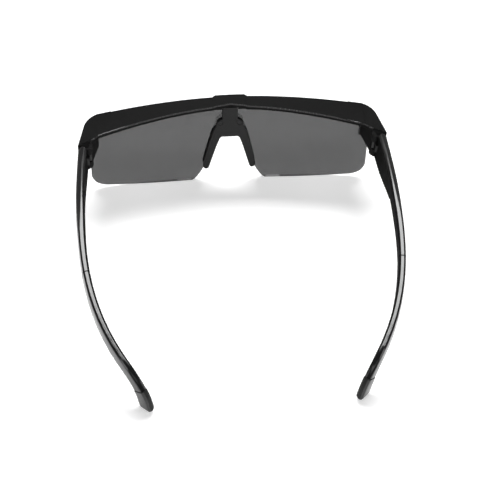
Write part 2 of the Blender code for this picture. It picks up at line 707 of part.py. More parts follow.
def make_nose_bridge(finish):
    ears, low = bridge_outline(), bridge_outline(EAR_FRONT_SHARE)
    ears_end = BRIDGE_BACK_Y + EAR_DEPTH
    sections = [(BRIDGE_BACK_Y, ears), (ears_end, ears), (ears_end + EAR_STEP, low), (BRIDGE_FRONT_Y, low)]
    bm = bmesh.new()
    loft(bm, [[Vector((x, y, z)) for x, z in outline] for y, outline in sections])
    bridge = add_object("nose_bridge", bm, finish)

    grooves = bmesh.new()
    for side in SIDES.values():
        loft(grooves, groove_rings(side))
    boolean(bridge, "DIFFERENCE", add_object("bridge_grooves_tool", grooves, finish))

    head = LENS_SCREW_HEAD + FIT_GAP
    bore = LENS_SCREW_RADIUS + FIT_GAP
    seat = BRIDGE_BACK_Y + LENS_SCREW_HEAD_HEIGHT + FIT_GAP
    end = LENS_SCREW_END + FIT_GAP
    bores = bmesh.new()
    for side in SIDES.values():
        lathe(bores, [(0, BRIDGE_BACK_Y - CUT_OVERRUN), (head, BRIDGE_BACK_Y - CUT_OVERRUN), (head, seat),
                      (bore, seat), (bore, end), (0, end)],
              SMALL_STEPS, along_y(side * LENS_SCREW_X, LENS_SCREW_Z))
    boolean(bridge, "DIFFERENCE", add_object("bridge_bores_tool", bores, finish))
    return bridge


def make_lens(label, side, finish):
    bm = bmesh.new()
    loft(bm, lens_rings(side))
    lens = add_object(f"lens_{label}", bm, finish, smooth_angle=math.radians(28))
    radius = LENS_SCREW_RADIUS + FIT_GAP
    half = 0.5 * LENS_THICKNESS + CUT_OVERRUN
    near, far = LENS_CENTRE_Y - half, LENS_CENTRE_Y + half
    hole = bmesh.new()
    lathe(hole, [(0, near), (radius, near), (radius, far), (0, far)],
          SMALL_STEPS, along_y(side * LENS_SCREW_X, LENS_SCREW_Z))
    boolean(lens, "DIFFERENCE", add_object(f"lens_hole_tool_{label}", hole, finish))
    return lens


def slotted_screw(radius, head, head_height, start, end, slot):
    """Profile of a screw that runs up from its head at start to its tip at end."""
    seat = start + head_height
    return [(0, start + slot), (0.45 * head, start + slot), (0.45 * head, start), (head, start),
            (head, seat), (radius, seat), (radius, end - 0.5 * radius), (0.5 * radius, end), (0, end)]


def make_lens_screw(label, side, finish):
    profile = slotted_screw(LENS_SCREW_RADIUS, LENS_SCREW_HEAD, LENS_SCREW_HEAD_HEIGHT,
                            BRIDGE_BACK_Y, LENS_SCREW_END, LENS_SCREW_SLOT)
    bm = bmesh.new()
    lathe(bm, profile, SMALL_STEPS, along_y(side * LENS_SCREW_X, LENS_SCREW_Z))
    return add_object(f"lens_screw_{label}", bm, finish, smooth_angle=math.radians(35))


def make_hinge_screw(label, side, finish):
    profile = slotted_screw(HINGE_SCREW_RADIUS, HINGE_SCREW_HEAD, HINGE_SCREW_HEAD_HEIGHT,
                            BARREL_BOTTOM + HINGE_SCREW_RECESS, HINGE_SCREW_END, HINGE_SCREW_SLOT)
    bm = bmesh.new()
    lathe(bm, profile, SMALL_STEPS, hinge_place(side))
    return add_object(f"hinge_screw_{label}", bm, finish, smooth_angle=math.radians(35))


def make_hinge_insert(label, side, finish):
    """Brass thread insert that the hinge screw runs into."""
    bore = HINGE_SCREW_RADIUS + FIT_GAP
    low = KNUCKLE_TOP + 2 * FIT_GAP
    ring = [(bore, low), (INSERT_RADIUS, low), (INSERT_RADIUS, low + INSERT_LENGTH),
            (bore, low + INSERT_LENGTH)]
    place = hinge_place(side)
    bm = bmesh.new()
    made = []
    for k in range(SMALL_STEPS):
        turn = 2 * math.pi * k / SMALL_STEPS
        points = [Vector((r * math.cos(turn), r * math.sin(turn), z)) for r, z in ring]
        made.append([bm.verts.new(place(p)) for p in points])
    for one, two in zip(made, made[1:] + made[:1]):
        for k in range(len(ring)):
            nxt = (k + 1) % len(ring)
            bm.faces.new((one[k], one[nxt], two[nxt], two[k]))
    return add_object(f"hinge_insert_{label}", bm, finish, smooth_angle=math.radians(35))


def knuckle_outline(side):
    """Plan of the temple's knuckle: round about the axis, with a web back into the temple."""
    inner, outer = -0.25 * BARREL_RADIUS, 1.2 * BARREL_RADIUS
    start, end = math.asin(-BUTT / BARREL_RADIUS), math.pi - math.asin(-BUTT / BARREL_RADIUS)
    points = []
    for angle in spaced(start, end, ROUND_STEPS - 4):
        points.append((BARREL_RADIUS * math.cos(angle), BARREL_RADIUS * math.sin(angle)))
    points += [(inner, -BUTT - FIT_GAP), (inner, -WEB_DEPTH), (outer, -WEB_DEPTH), (outer, -BUTT - FIT_GAP)]
    return [(side * x, y) for x, y in points]


def make_arm(label, side, hinge, finish):
    stations = [BUTT] + spaced(0.12 * PANEL_END, PANEL_END, 8) + [PANEL_END + NOTCH_LENGTH]
    stations += spaced(PANEL_END + 6 * NOTCH_LENGTH, SEAM - 0.5 * FIT_GAP, 6)
    bm = bmesh.new()
    loft(bm, [temple_ring(side, s) for s in stations])
    arm = add_object(f"temple_arm_{label}", bm, finish, hinge, smooth_angle=math.radians(35))

    relief = BARREL_RADIUS + FIT_GAP
    low = BARREL_BOTTOM - FIT_GAP
    recess = bmesh.new()
    lathe(recess, [(0, low), (relief, low), (relief, CUT_OVERRUN), (0, CUT_OVERRUN)], ROUND_STEPS)
    boolean(arm, "DIFFERENCE", add_object(f"arm_recess_tool_{label}", recess, finish, hinge))

    outline = knuckle_outline(side)
    knuckle = bmesh.new()
    loft(knuckle, [[Vector((x, y, z)) for x, y in outline] for z in (KNUCKLE_BOTTOM, KNUCKLE_TOP)])
    boolean(arm, "UNION", add_object(f"arm_knuckle_tool_{label}", knuckle, finish, hinge))

    radius = HINGE_SCREW_RADIUS + FIT_GAP
    low, high = KNUCKLE_BOTTOM - CUT_OVERRUN, KNUCKLE_TOP + CUT_OVERRUN
    bore = bmesh.new()
    lathe(bore, [(0, low), (radius, low), (radius, high), (0, high)], SMALL_STEPS)
    boolean(arm, "DIFFERENCE", add_object(f"arm_bore_tool_{label}", bore, finish, hinge))
    cut_core_slot(arm, side, hinge, finish, CORE_START, SEAM + CUT_OVERRUN)
    return arm


def cut_core_slot(obj, side, hinge, finish, start, end):
    slot = bmesh.new()
    loft(slot, [core_ring(side, s, FIT_GAP) for s in slot_stations(start, end)])
    boolean(obj, "DIFFERENCE", add_object(f"{obj.name}_slot_tool", slot, finish, hinge))


def make_sleeve(label, side, hinge, finish):
    stations = temple_stations(SEAM + 0.5 * FIT_GAP, TIP_START - 0.5 * FIT_GAP)
    bm = bmesh.new()
    loft(bm, [temple_ring(side, s) for s in stations])
    sleeve = add_object(f"temple_sleeve_{label}", bm, finish, hinge, smooth_angle=math.radians(35))
    cut_core_slot(sleeve, side, hinge, finish, SEAM - CUT_OVERRUN, TIP_START + CUT_OVERRUN)

    holes = bmesh.new()
    for k in range(PIN_HOLES):
        s = SEAM + PIN_HOLE_LEAD + k * PIN_HOLE_PITCH
        _, outward, up, back = temple_axes(s)
        centre = temple_point(s, 0, PIN_HOLE_DOWN_SHARE * temple_height(s))

        def place(p, centre=centre, outward=outward, up=up, back=back):
            point = centre + back * p.x + up * p.y + outward * p.z
            return Vector((side * point.x, point.y, point.z))
        lathe(holes, [(0, -PIN_HOLE_DEPTH), (PIN_HOLE_RADIUS, -PIN_HOLE_DEPTH),
                      (PIN_HOLE_RADIUS, PIN_HOLE_DEPTH), (0, PIN_HOLE_DEPTH)], 10, place)
    boolean(sleeve, "DIFFERENCE", add_object(f"sleeve_holes_tool_{label}", holes, finish, hinge))
    return sleeve


def make_tip(label, side, hinge, finish):
    bm = bmesh.new()
    loft(bm, tip_rings(side))
    tip = add_object(f"temple_tip_{label}", bm, finish, hinge, smooth_angle=math.radians(40))
    cut_core_slot(tip, side, hinge, finish, TIP_START - CUT_OVERRUN, CORE_END)
    return tip


def make_core(label, side, hinge, finish):
    bm = bmesh.new()
    loft(bm, [core_ring(side, s) for s in temple_stations(CORE_START, CORE_END)])
    return add_object(f"temple_core_{label}", bm, finish, hinge, smooth_angle=math.radians(35))


def parent_all(root):
    """Everything that has no parent stands on the root."""
    for obj in bpy.data.objects:
        if obj is not root and obj.parent is None:
            obj.parent = root


def stand_on_origin(root):
    """Put the middle of the footprint on the origin, with the lowest point at z = 0."""
    bpy.context.view_layer.update()
    graph = bpy.context.evaluated_depsgraph_get()
    points = []
    for obj in bpy.data.objects:
        if obj.type == "MESH" and not obj.hide_render:
            solid = obj.evaluated_get(graph)
            points += [solid.matrix_world @ v.co for v in solid.data.vertices]
    lows = [min(p[axis] for p in points) for axis in range(3)]
    highs = [max(p[axis] for p in points) for axis in range(3)]
    root.location = (-0.5 * (lows[0] + highs[0]), -0.5 * (lows[1] + highs[1]), -lows[2])
    bpy.context.view_layer.update()


def main():
    clear_scene()
    satin_black = (0.016, 0.016, 0.017)
    gloss_black = (0.010, 0.010, 0.011)
    smoke = (0.10, 0.10, 0.095)
    steel = (0.55, 0.55, 0.56)
    brass = (0.60, 0.42, 0.16)

    root = add_empty("stance", (0, 0, 0))
    make_front(make_material("brow_satin_black", satin_black, 0.38))
    make_nose_bridge(make_material("bridge_satin_black", (0.022, 0.022, 0.022), 0.45))
    for label, side in SIDES.items():
        make_lens(label, side, make_material(f"lens_smoke_{label}", smoke, 0.05, alpha=0.6))
        make_lens_screw(label, side, make_material(f"lens_screw_steel_{label}", steel, 0.3, metallic=1.0))
        make_hinge_screw(label, side, make_material(f"hinge_screw_steel_{label}", steel, 0.3, metallic=1.0))
        make_hinge_insert(label, side, make_material(f"hinge_insert_brass_{label}", brass, 0.35, metallic=1.0))
        hinge = add_empty(f"hinge_{label}", (side * HINGE_X, HINGE_Y, HINGE_Z), (LEAN, 0, 0))
        make_arm(label, side, hinge, make_material(f"arm_gloss_black_{label}", gloss_black, 0.12, coat=0.5))
        make_core(label, side, hinge, make_material(f"core_steel_{label}", steel, 0.35, metallic=1.0))
        make_sleeve(label, side, hinge, make_material(f"sleeve_black_{label}", gloss_black, 0.25))
        make_tip(label, side, hinge, make_material(f"tip_black_{label}", gloss_black, 0.3))
    parent_all(root)
    stand_on_origin(root)


main()
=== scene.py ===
# %% [markdown]
# Fit-over sunglasses
#
# A lesson in dressing a finished CAD assembly. The pair stands on its lens
# edges and temple tips with the temples open, seen from the wearer's side.

# %% The frame
import math
import bmesh
import bpy
from mathutils import Matrix, Vector


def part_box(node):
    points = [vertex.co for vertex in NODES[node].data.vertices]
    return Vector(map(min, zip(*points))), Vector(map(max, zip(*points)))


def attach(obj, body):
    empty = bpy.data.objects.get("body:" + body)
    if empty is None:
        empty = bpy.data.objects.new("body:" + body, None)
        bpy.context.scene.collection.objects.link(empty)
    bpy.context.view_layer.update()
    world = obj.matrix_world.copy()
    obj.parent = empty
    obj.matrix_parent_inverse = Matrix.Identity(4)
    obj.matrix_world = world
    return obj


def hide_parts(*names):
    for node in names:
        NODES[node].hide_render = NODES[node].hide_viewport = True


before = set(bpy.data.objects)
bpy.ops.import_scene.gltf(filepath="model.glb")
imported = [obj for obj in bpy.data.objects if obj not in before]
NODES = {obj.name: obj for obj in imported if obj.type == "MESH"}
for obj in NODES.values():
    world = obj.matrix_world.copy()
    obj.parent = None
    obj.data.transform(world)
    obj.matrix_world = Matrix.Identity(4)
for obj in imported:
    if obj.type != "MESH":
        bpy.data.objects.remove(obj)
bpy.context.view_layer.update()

MM = 0.001

# %% [markdown]
# The camera
#
# A product picture is taken from far off with a long lens, so that the front
# and the temples keep their proportions. The camera is turned by three plain
# angles about the front of the glasses, and then shifted a little in its own
# plane. Its axes are written as the columns of one matrix, because that says
# exactly where it looks, with no order of turns to remember.

# %% Camera
PICTURE_WIDTH = 480            # pixels
FOCAL_PIXELS = 1475.4
SENSOR_WIDTH = 36.0            # millimetres, the camera's own unit for it
CAMERA_DISTANCE = 752.9 * MM
CAMERA_ELEVATION = math.radians(46.11)
CAMERA_YAW = math.radians(-6.31)
CAMERA_ROLL = math.radians(1.75)
CAMERA_SHIFT_RIGHT = 6.37 * MM
CAMERA_SHIFT_UP = -35.58 * MM
AIM_AHEAD = 1.7 * MM           # of the foremost point of the brow

forward = Vector((-math.sin(CAMERA_YAW) * math.cos(CAMERA_ELEVATION),
                  math.cos(CAMERA_YAW) * math.cos(CAMERA_ELEVATION),
                  -math.sin(CAMERA_ELEVATION)))
level = Vector((math.cos(CAMERA_YAW), math.sin(CAMERA_YAW), 0))
upward = level.cross(forward)
right = math.cos(CAMERA_ROLL) * level + math.sin(CAMERA_ROLL) * upward
up = math.cos(CAMERA_ROLL) * upward - math.sin(CAMERA_ROLL) * level
aim = Vector((0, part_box("brow_frame")[1].y + AIM_AHEAD, 0))
place = aim - forward * CAMERA_DISTANCE + right * CAMERA_SHIFT_RIGHT + up * CAMERA_SHIFT_UP

camera = bpy.data.objects.new("camera", bpy.data.cameras.new("camera"))
bpy.context.collection.objects.link(camera)
camera.data.sensor_width = SENSOR_WIDTH
camera.data.lens = FOCAL_PIXELS * SENSOR_WIDTH / PICTURE_WIDTH
camera.matrix_world = Matrix((
    (right.x, up.x, -forward.x, place.x),
    (right.y, up.y, -forward.y, place.y),
    (right.z, up.z, -forward.z, place.z),
    (0, 0, 0, 1),
))
bpy.context.scene.camera = camera
bpy.context.scene.view_settings.view_transform = "Standard"
print("camera at", [round(v, 3) for v in place])

# %% [markdown]
# Arithmetic on sockets
#
# A node tree is easier to read when its sums are written as sums. `Wire`
# wraps one socket. An operator between wires, or between a wire and a number
# on either side of it, adds one Math node and gives its result as a new wire.

# %% Wires
def plug(tree, socket, value):
    """Link a wire to a socket, or write a plain value on it."""
    if isinstance(value, Wire):
        tree.links.new(value.socket, socket)
    else:
        socket.default_value = value


class Wire:
    """One socket that takes part in sums."""

    def __init__(self, tree, socket):
        self.tree = tree
        self.socket = socket

    def sum_node(self, operation, *values):
        node = self.tree.nodes.new("ShaderNodeMath")
        node.operation = operation
        for socket, value in zip(node.inputs, values):
            plug(self.tree, socket, value)
        return Wire(self.tree, node.outputs[0])

    def __add__(self, other):
        return self.sum_node("ADD", self, other)

    def __radd__(self, other):
        return self.sum_node("ADD", other, self)

    def __sub__(self, other):
        return self.sum_node("SUBTRACT", self, other)

    def __rsub__(self, other):
        return self.sum_node("SUBTRACT", other, self)

    def __mul__(self, other):
        return self.sum_node("MULTIPLY", self, other)

    def __rmul__(self, other):
        return self.sum_node("MULTIPLY", other, self)

    def __truediv__(self, other):
        return self.sum_node("DIVIDE", self, other)

    def __rtruediv__(self, other):
        return self.sum_node("DIVIDE", other, self)

    def above(self, limit):
        """1 where it is over the limit, 0 elsewhere."""
        return self.sum_node("GREATER_THAN", self, limit)

    def size(self):
        """Without its sign."""
        return self.sum_node("ABSOLUTE", self)

    def held(self):
        """Kept between 0 and 1."""
        return self.sum_node("MINIMUM", self.sum_node("MAXIMUM", self, 0.0), 1.0)


print("sockets can be added up")

# %% [markdown]
# Boards and finishes
#
# A `Board` is any node tree, of a material or of the world. Its `node` method
# adds one node, sets the settings first, and plugs values or wires into the
# sockets that are named. A `Finish` is the board of one material: `feed`
# fills the Principled shader, and a few short methods give the patterns that
# several finishes share. `blend` mixes two colours with a Mix node, because a
# Math node would turn them grey. Every pattern reads the piece's own Object
# coordinates, so it stays put when a temple folds.

# %% Boards and finishes
class Board:
    """A node tree that nodes are added to."""

    def __init__(self, tree):
        self.tree = tree

    def node(self, kind, settings=(), output=0, **sockets):
        node = self.tree.nodes.new("ShaderNode" + kind)
        for name, value in dict(settings).items():
            setattr(node, name, value)
        for name, value in sockets.items():
            plug(self.tree, node.inputs[name.replace("_", " ")], value)
        return Wire(self.tree, node.outputs[output])

    def separate(self, axis, vector):
        """One of the X, Y and Z of a vector."""
        return self.node("SeparateXYZ", output=axis, Vector=vector)

    def ray(self, *kinds):
        """1 for rays of the given kinds, 0 for others."""
        total = 0.0
        for kind in kinds:
            total = total + self.node("LightPath", output="Is %s Ray" % kind)
        return total.held()


class Finish(Board):
    """A material with a Principled shader."""

    def __init__(self, name, **shader_values):
        self.material = bpy.data.materials.new(name)
        self.material.use_nodes = True
        super().__init__(self.material.node_tree)
        self.shader = self.tree.nodes["Principled BSDF"]
        self.feed(**shader_values)

    def feed(self, **shader_values):
        for name, value in shader_values.items():
            plug(self.tree, self.shader.inputs[name.replace("_", " ")], value)

    def on_object(self, scale=(1, 1, 1)):
        """The piece's own coordinates, stretched by scale."""
        where = self.node("TexCoord", output="Object")
        return self.node("Mapping", Vector=where, Scale=scale)

    def noise(self, per_metre, detail=2.0, roughness=0.5, scale=(1, 1, 1)):
        """A cloudy pattern between 0 and 1."""
        return self.node("TexNoise", Vector=self.on_object(scale), Scale=per_metre,
                         Detail=detail, Roughness=roughness)

    def blend(self, share, colour_0, colour_1):
        """The first colour where share is 0, the second where it is 1."""
        mixer = self.tree.nodes.new("ShaderNodeMix")
        mixer.data_type = "RGBA"
        for socket, value in zip((mixer.inputs[0], mixer.inputs[6], mixer.inputs[7]),
                                 (share, colour_0, colour_1)):
            plug(self.tree, socket, value)
        return Wire(self.tree, mixer.outputs[2])

    def bump(self, height, depth, strength):
        """Let a pattern tilt the surface, as if it were depth high."""
        self.feed(Normal=self.node("Bump", Height=height, Distance=depth, Strength=strength))


def grey(value):
    return (value, value, value, 1.0)


WHITE = grey(1.0)
BLACK = grey(0.0)
print("finishes can be mixed")

# %% [markdown]
# Satin black plastic
#
# The brow and the nose bridge are moulded in a mould that was etched to a
# fine matt. The real surface reads as soft charcoal rather than black,
# because tiny pits scatter the studio light. One recipe with a gloss value
# makes both: a fine noise in bump and roughness does the scattering, and a
# cloud in the colour stands for the faint unevenness of handled plastic.

# %% Satin plastic
def satin_black(name, gloss, dark, pale):
    finish = Finish(name, Specular_IOR_Level=gloss)
    pits = finish.noise(per_metre=9000.0, roughness=0.6)
    cloud = finish.noise(per_metre=90.0)
    finish.feed(
        Base_Color=finish.blend(cloud, grey(dark), grey(pale)),
        Roughness=(0.50 + 0.08 * cloud + 0.12 * pits).held(),
    )
    finish.bump(pits, depth=0.04 * MM, strength=0.5)
    return finish.material


BROW_SATIN = satin_black("satin_black_brow", gloss=0.06, dark=0.005, pale=0.008)
BRIDGE_SATIN = satin_black("satin_black_bridge", gloss=0.31, dark=0.004, pale=0.007)
print("made", BROW_SATIN.name, "and", BRIDGE_SATIN.name)

# %% [markdown]
# Worn edge
#
# Wherever a matt moulding is handled, its edges are polished first: fingers
# and cloths wear the etched pits away on the ridges. The worn edge is the
# same black with the gloss back. A coarse noise varies it a little, so that
# the bright line isn't drawn with a ruler, but strong contrast would break
# such a thin line into dashes.

# %% Worn edge
def worn_edge(name):
    finish = Finish(name, Specular_IOR_Level=0.5)
    rubbed = finish.noise(per_metre=700.0, detail=3.0, roughness=0.6)
    finish.feed(
        Base_Color=finish.blend(rubbed, grey(0.006), grey(0.016)),
        Roughness=(0.22 + 0.10 * rubbed).held(),
    )
    finish.bump(rubbed, depth=0.03 * MM, strength=0.1)
    return finish.material


WORN_EDGE = worn_edge("worn_black_edge")
print("made", WORN_EDGE.name)

# %% [markdown]
# Gloss black plastic
#
# The temples come out of a polished mould. The surface is nearly a mirror,
# but not quite: the melt leaves a slow ripple, the grain of the polish shows
# in the gloss, and handling leaves a little dust and a few hair scratches
# along the temple. So the colour hardly changes, and the noise goes to
# roughness and bump instead.
#
# By the hinge the moulding is etched like the brow that it meets. Only the
# inner ridge keeps some polish there, so the light stripe starts as a thin
# soft line and broadens rearwards. Two masks do this, and both are measured
# from the CAD arm. `dull` grows along the arm towards the hinge. `etched`
# says how far out a point lies from a border that runs from the ridge by the
# hinge to the outer side. Sideways is taken without its sign, so that one
# material does for both temples.

# %% Etched zone
ARM_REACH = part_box("temple_arm_right")[1]
DULL_FROM = ARM_REACH.y - 37.9 * MM    # forward of here the ridge grows duller
DULL_LENGTH = 24.0 * MM
ETCH_FROM = ARM_REACH.y - 53.9 * MM    # forward of here the outer part is etched
ETCH_LENGTH = 14.0 * MM
BORDER_OUT = ARM_REACH.x - 1.74 * MM   # from the middle of the pair, where forward is nought
BORDER_SLOPE = 0.043                   # inwards per length forward
BORDER_FADE = 0.4 * MM
BEND_FROM = ARM_REACH.y - 14.9 * MM    # forward of here the ridge turns inwards
BEND_LENGTH = 13.0 * MM
BEND_IN = 1.5 * MM

def hinge_masks(finish):
    """How dull the ridge is, and how etched the part beside it."""
    forward = finish.separate("Y", finish.on_object())
    sideways = finish.separate("X", finish.on_object()).size()
    dull = ((forward - DULL_FROM) / DULL_LENGTH).held()
    bend = ((forward - BEND_FROM) / BEND_LENGTH).held()
    border = BORDER_OUT - BORDER_SLOPE * forward - BEND_IN * bend
    beyond = ((sideways - border) / BORDER_FADE).held()
    return dull, beyond * ((forward - ETCH_FROM) / ETCH_LENGTH).held()


print("the etched zone starts", round(ETCH_FROM / MM, 1), "mm forward of the middle")

# %% Gloss plastic
DULL_ROUGHNESS = 0.50
ETCH_ROUGHNESS = 0.80
DUST_OVER = 0.735              # noise value past which a speck shows
DUST_COVER = 0.6

def gloss_black(name):
    finish = Finish(name, Specular_IOR_Level=0.5)
    ripple = finish.noise(per_metre=260.0, detail=3.0)
    grain = finish.noise(per_metre=5200.0)
    scratch = finish.noise(per_metre=900.0, detail=4.0, roughness=0.7, scale=(1.0, 0.06, 1.0))
    dust = DUST_COVER * finish.noise(per_metre=3800.0, detail=1.0).above(DUST_OVER)
    dull, etched = hinge_masks(finish)
    polish = 0.08 + 0.08 * ripple + 0.10 * (scratch - 0.5) + 0.25 * dust
    finish.feed(
        Base_Color=finish.blend(dust, grey(0.006), grey(0.05)),
        Roughness=(polish + DULL_ROUGHNESS * dull + ETCH_ROUGHNESS * etched).held(),
    )
    finish.bump(0.8 * ripple + 0.2 * grain, depth=0.06 * MM, strength=0.5)
    return finish.material


GLOSS_BLACK = gloss_black("gloss_black_temple")
print("made", GLOSS_BLACK.name)

# %% [markdown]
# Matt inside
#
# The side of a temple that lies against the head is left matt, so that it
# grips and does not mirror light into the eyes. Seen along the surface any
# plastic turns bright, so this one has hardly any gloss at all, and a
# leathery noise in the bump.

# %% Matt plastic
def matt_black(name):
    finish = Finish(name, Specular_IOR_Level=0.03)
    pebble = finish.noise(per_metre=2600.0, detail=3.0, roughness=0.55)
    finish.feed(
        Base_Color=finish.blend(pebble, grey(0.003), grey(0.008)),
        Roughness=(0.62 + 0.20 * pebble).held(),
    )
    finish.bump(pebble, depth=0.05 * MM, strength=0.5)
    return finish.material


MATT_BLACK = matt_black("matt_black_inside")
print("made", MATT_BLACK.name)

# %% [markdown]
# Smoked lens
#
# A lens this dark passes about six hundredths of the light, neutral grey. It
# is a thin closed shell, so a ray to the floor crosses two surfaces, and each
# lets the square root of that share through. Alpha does this with no
# refraction, which on a sheet this thin can't be seen. Faint wipe marks live
# in the roughness, and the tint is a little deeper at the top.

# %% Lens tint
LENS_PASSES = 0.060
TINT_MIDDLE = 0.615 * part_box("lens_right")[1].z    # where the tint has its plain value
TINT_RISE = 0.9                                    # alpha per metre above it

def smoked(name):
    finish = Finish(name, IOR=1.5)
    height = finish.separate("Z", finish.on_object())
    wipe = finish.noise(per_metre=45.0, detail=5.0, roughness=0.65, scale=(1.0, 1.0, 0.25))
    stopped = 1.0 - math.sqrt(LENS_PASSES)
    deeper = TINT_RISE * (height - TINT_MIDDLE)
    finish.feed(
        Base_Color=finish.blend(wipe, grey(0.010), (0.016, 0.016, 0.018, 1.0)),
        Roughness=(0.03 + 0.05 * wipe).held(),
        Alpha=(stopped + deeper + 0.02 * (wipe - 0.5)).held(),
    )
    return finish.material


SMOKED = smoked("smoked_lens")
print("made", SMOKED.name)

# %% [markdown]
# Small metal
#
# The lens screws are blackened, so that they vanish in the bridge. The hinge
# screws are plain turned steel, the thread inserts are brass, and the cores
# are strips of stamped stainless steel. One recipe makes them all: a metal
# colour, turning marks in the roughness and a trace of bump.

# %% Metals
def metal(name, colour, worn, per_metre=4200.0, scale=(1, 1, 1)):
    finish = Finish(name, Metallic=1.0)
    marks = finish.noise(per_metre, detail=3.0, roughness=0.7, scale=scale)
    finish.feed(
        Base_Color=finish.blend(marks, colour, worn),
        Roughness=(0.22 + 0.22 * marks).held(),
    )
    finish.bump(marks, depth=0.02 * MM, strength=0.4)
    return finish.material


BLACKENED = metal("blackened_steel", grey(0.015), grey(0.06))
STEEL = metal("turned_steel", (0.52, 0.52, 0.53, 1.0), (0.70, 0.69, 0.67, 1.0))
BRASS = metal("insert_brass", (0.55, 0.36, 0.12, 1.0), (0.78, 0.57, 0.25, 1.0), per_metre=3800.0)
STRIP = metal("core_strip_steel", (0.42, 0.43, 0.44, 1.0), (0.62, 0.62, 0.63, 1.0),
              per_metre=1500.0, scale=(6.0, 0.2, 6.0))
print("made", BLACKENED.name, STEEL.name, BRASS.name, STRIP.name)

# %% [markdown]
# A finished copy of a CAD node
#
# The CAD solids have the right shape, but their edges are knife sharp, and a
# real moulding has none: the mould leaves a small radius on every edge, and
# that radius is what catches the light. So a copy of the node's loose
# triangles is merged into one skin, the flat faces are made whole again, and
# bmesh's bevel rounds the edges. The node itself is left alone and hidden.
#
# A bevel that is clamped takes the width that its tightest corner allows,
# and takes it everywhere. So only edges with room for the radius are
# rounded, and the small ones at the hinges and holes stay as the CAD has
# them. The temples, lenses and screws then need no clamp and get their full
# radius. The brow and the bridge have corners that would still cut through
# each other, so there the clamp stays on. Last, a point that merely sits on
# a straight edge is dropped, because the triangles of both faces beside it
# would meet in the same hairline.

# %% Copying and rounding
WELD = 0.002 * MM              # points closer than this are one
FLAT = math.radians(0.6)       # faces that meet at less are one
STRAIGHT = math.radians(2.0)   # a point that bends an edge by less is dropped
ROOM = 2.2                     # radii that a neighbouring edge must be long

def merged_copy(node):
    """The skin of a CAD node, with its flat faces whole."""
    bm = bmesh.new()
    bm.from_mesh(NODES[node].data)
    bmesh.ops.remove_doubles(bm, verts=bm.verts, dist=WELD)
    bmesh.ops.dissolve_limit(bm, verts=bm.verts, edges=bm.edges, angle_limit=FLAT)
    return bm


def sharp_edges(bm, degrees=30):
    limit = math.radians(degrees)
    return [edge for edge in bm.edges if edge.is_manifold and edge.calc_face_angle() > limit]


def has_room(edge, width, room):
    """Whether every edge that meets its ends is long enough for the radius."""
    return all(near.calc_length() > room * width for end in edge.verts for near in end.link_edges)


def round_edges(bm, edges, width, segments=2, room=ROOM, clamp=False):
    """Bevel the edges that have room for it, and give the new faces."""
    roomy = [edge for edge in edges if has_room(edge, width, room)]
    print("rounded", len(roomy), "of", len(edges), "edges")
    made = bmesh.ops.bevel(bm, geom=roomy, offset=width, offset_type="OFFSET", segments=segments,
                           profile=0.5, affect="EDGES", material=-1, clamp_overlap=clamp)
    bmesh.ops.remove_doubles(bm, verts=bm.verts, dist=WELD)
    needless = [v for v in bm.verts if len(v.link_edges) == 2 and v.calc_edge_angle() < STRAIGHT]
    bmesh.ops.dissolve_verts(bm, verts=needless)
    return [face for face in made["faces"] if face.is_valid]


print("copies can be merged and rounded")

# %% [markdown]
# A dressed piece
#
# It is shaded smooth up to the angle of a true corner. The Weighted Normal
# modifier lets the broad faces set the shading, so that flat faces stay flat
# and only the small radii turn.

# %% Dressing
CORNER = math.radians(40)      # faces that meet at more are shaded apart

def dress(bm, name, materials, body, node):
    """Turn a bmesh into a smooth-shaded piece that rides on a body, and hide its node."""
    mesh = bpy.data.meshes.new(name)
    bm.to_mesh(mesh)
    bm.free()
    for material in materials:
        mesh.materials.append(material)
    mesh.shade_smooth()
    mesh.set_sharp_from_angle(angle=CORNER)
    piece = bpy.data.objects.new(name, mesh)
    bpy.context.collection.objects.link(piece)
    weighted = piece.modifiers.new("even_shading", "WEIGHTED_NORMAL")
    weighted.keep_sharp = True
    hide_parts(node)
    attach(piece, body)
    print(name, "has", len(mesh.polygons), "faces")


print("pieces can be dressed")

# %% [markdown]
# The brow
#
# One moulding carries everything: a shelf over the lenses, a lip in front of
# them, and an end block with the hinge barrels at each side. Its shape is
# the CAD's. What the CAD lacks is the edge: the sharp edges get a small
# radius, and the upward faces of those radii take the worn finish. So does
# the narrow slope behind the shelf, where a finger pushes the pair on, and
# together they draw the thin bright line along the back of the shelf.

# %% Brow
BROW_ROUND = 0.22 * MM
SLOT_WORN = 1
WORN_RISE = 0.12               # how far a radius must look up to be rubbed
SLOPE_FACING = 0.5             # the slope behind the shelf looks back and up more than this

bm = merged_copy("brow_frame")
for face in round_edges(bm, sharp_edges(bm), BROW_ROUND, segments=3, clamp=True):
    face.normal_update()
    if face.normal.z > WORN_RISE:
        face.material_index = SLOT_WORN
for face in bm.faces:
    if min(-face.normal.y, face.normal.z) > SLOPE_FACING:
        face.material_index = SLOT_WORN
dress(bm, "brow", [BROW_SATIN, WORN_EDGE], "front", "brow_frame")

# %% [markdown]
# The nose bridge
#
# The bridge hangs under the brow on a bar, widens to two shoulders and ends
# in two legs that rest on the nose. On the real one the corners of the
# outline are as round as a finger feels comfortable with, far rounder than
# the rim between front and side. So the edges that run through its
# thickness are rounded first with a large radius, and the rim afterwards.

# %% Bridge
OUTLINE_ROUND = 0.7 * MM
BRIDGE_ROUND = 0.25 * MM
THROUGH = Vector((0, 1, 0))    # the way through the bridge's thickness
ALONG = 0.97                   # an edge that runs along it does so at least this much

def runs_through(edge):
    line = (edge.verts[1].co - edge.verts[0].co).normalized()
    return abs(line.dot(THROUGH)) > ALONG


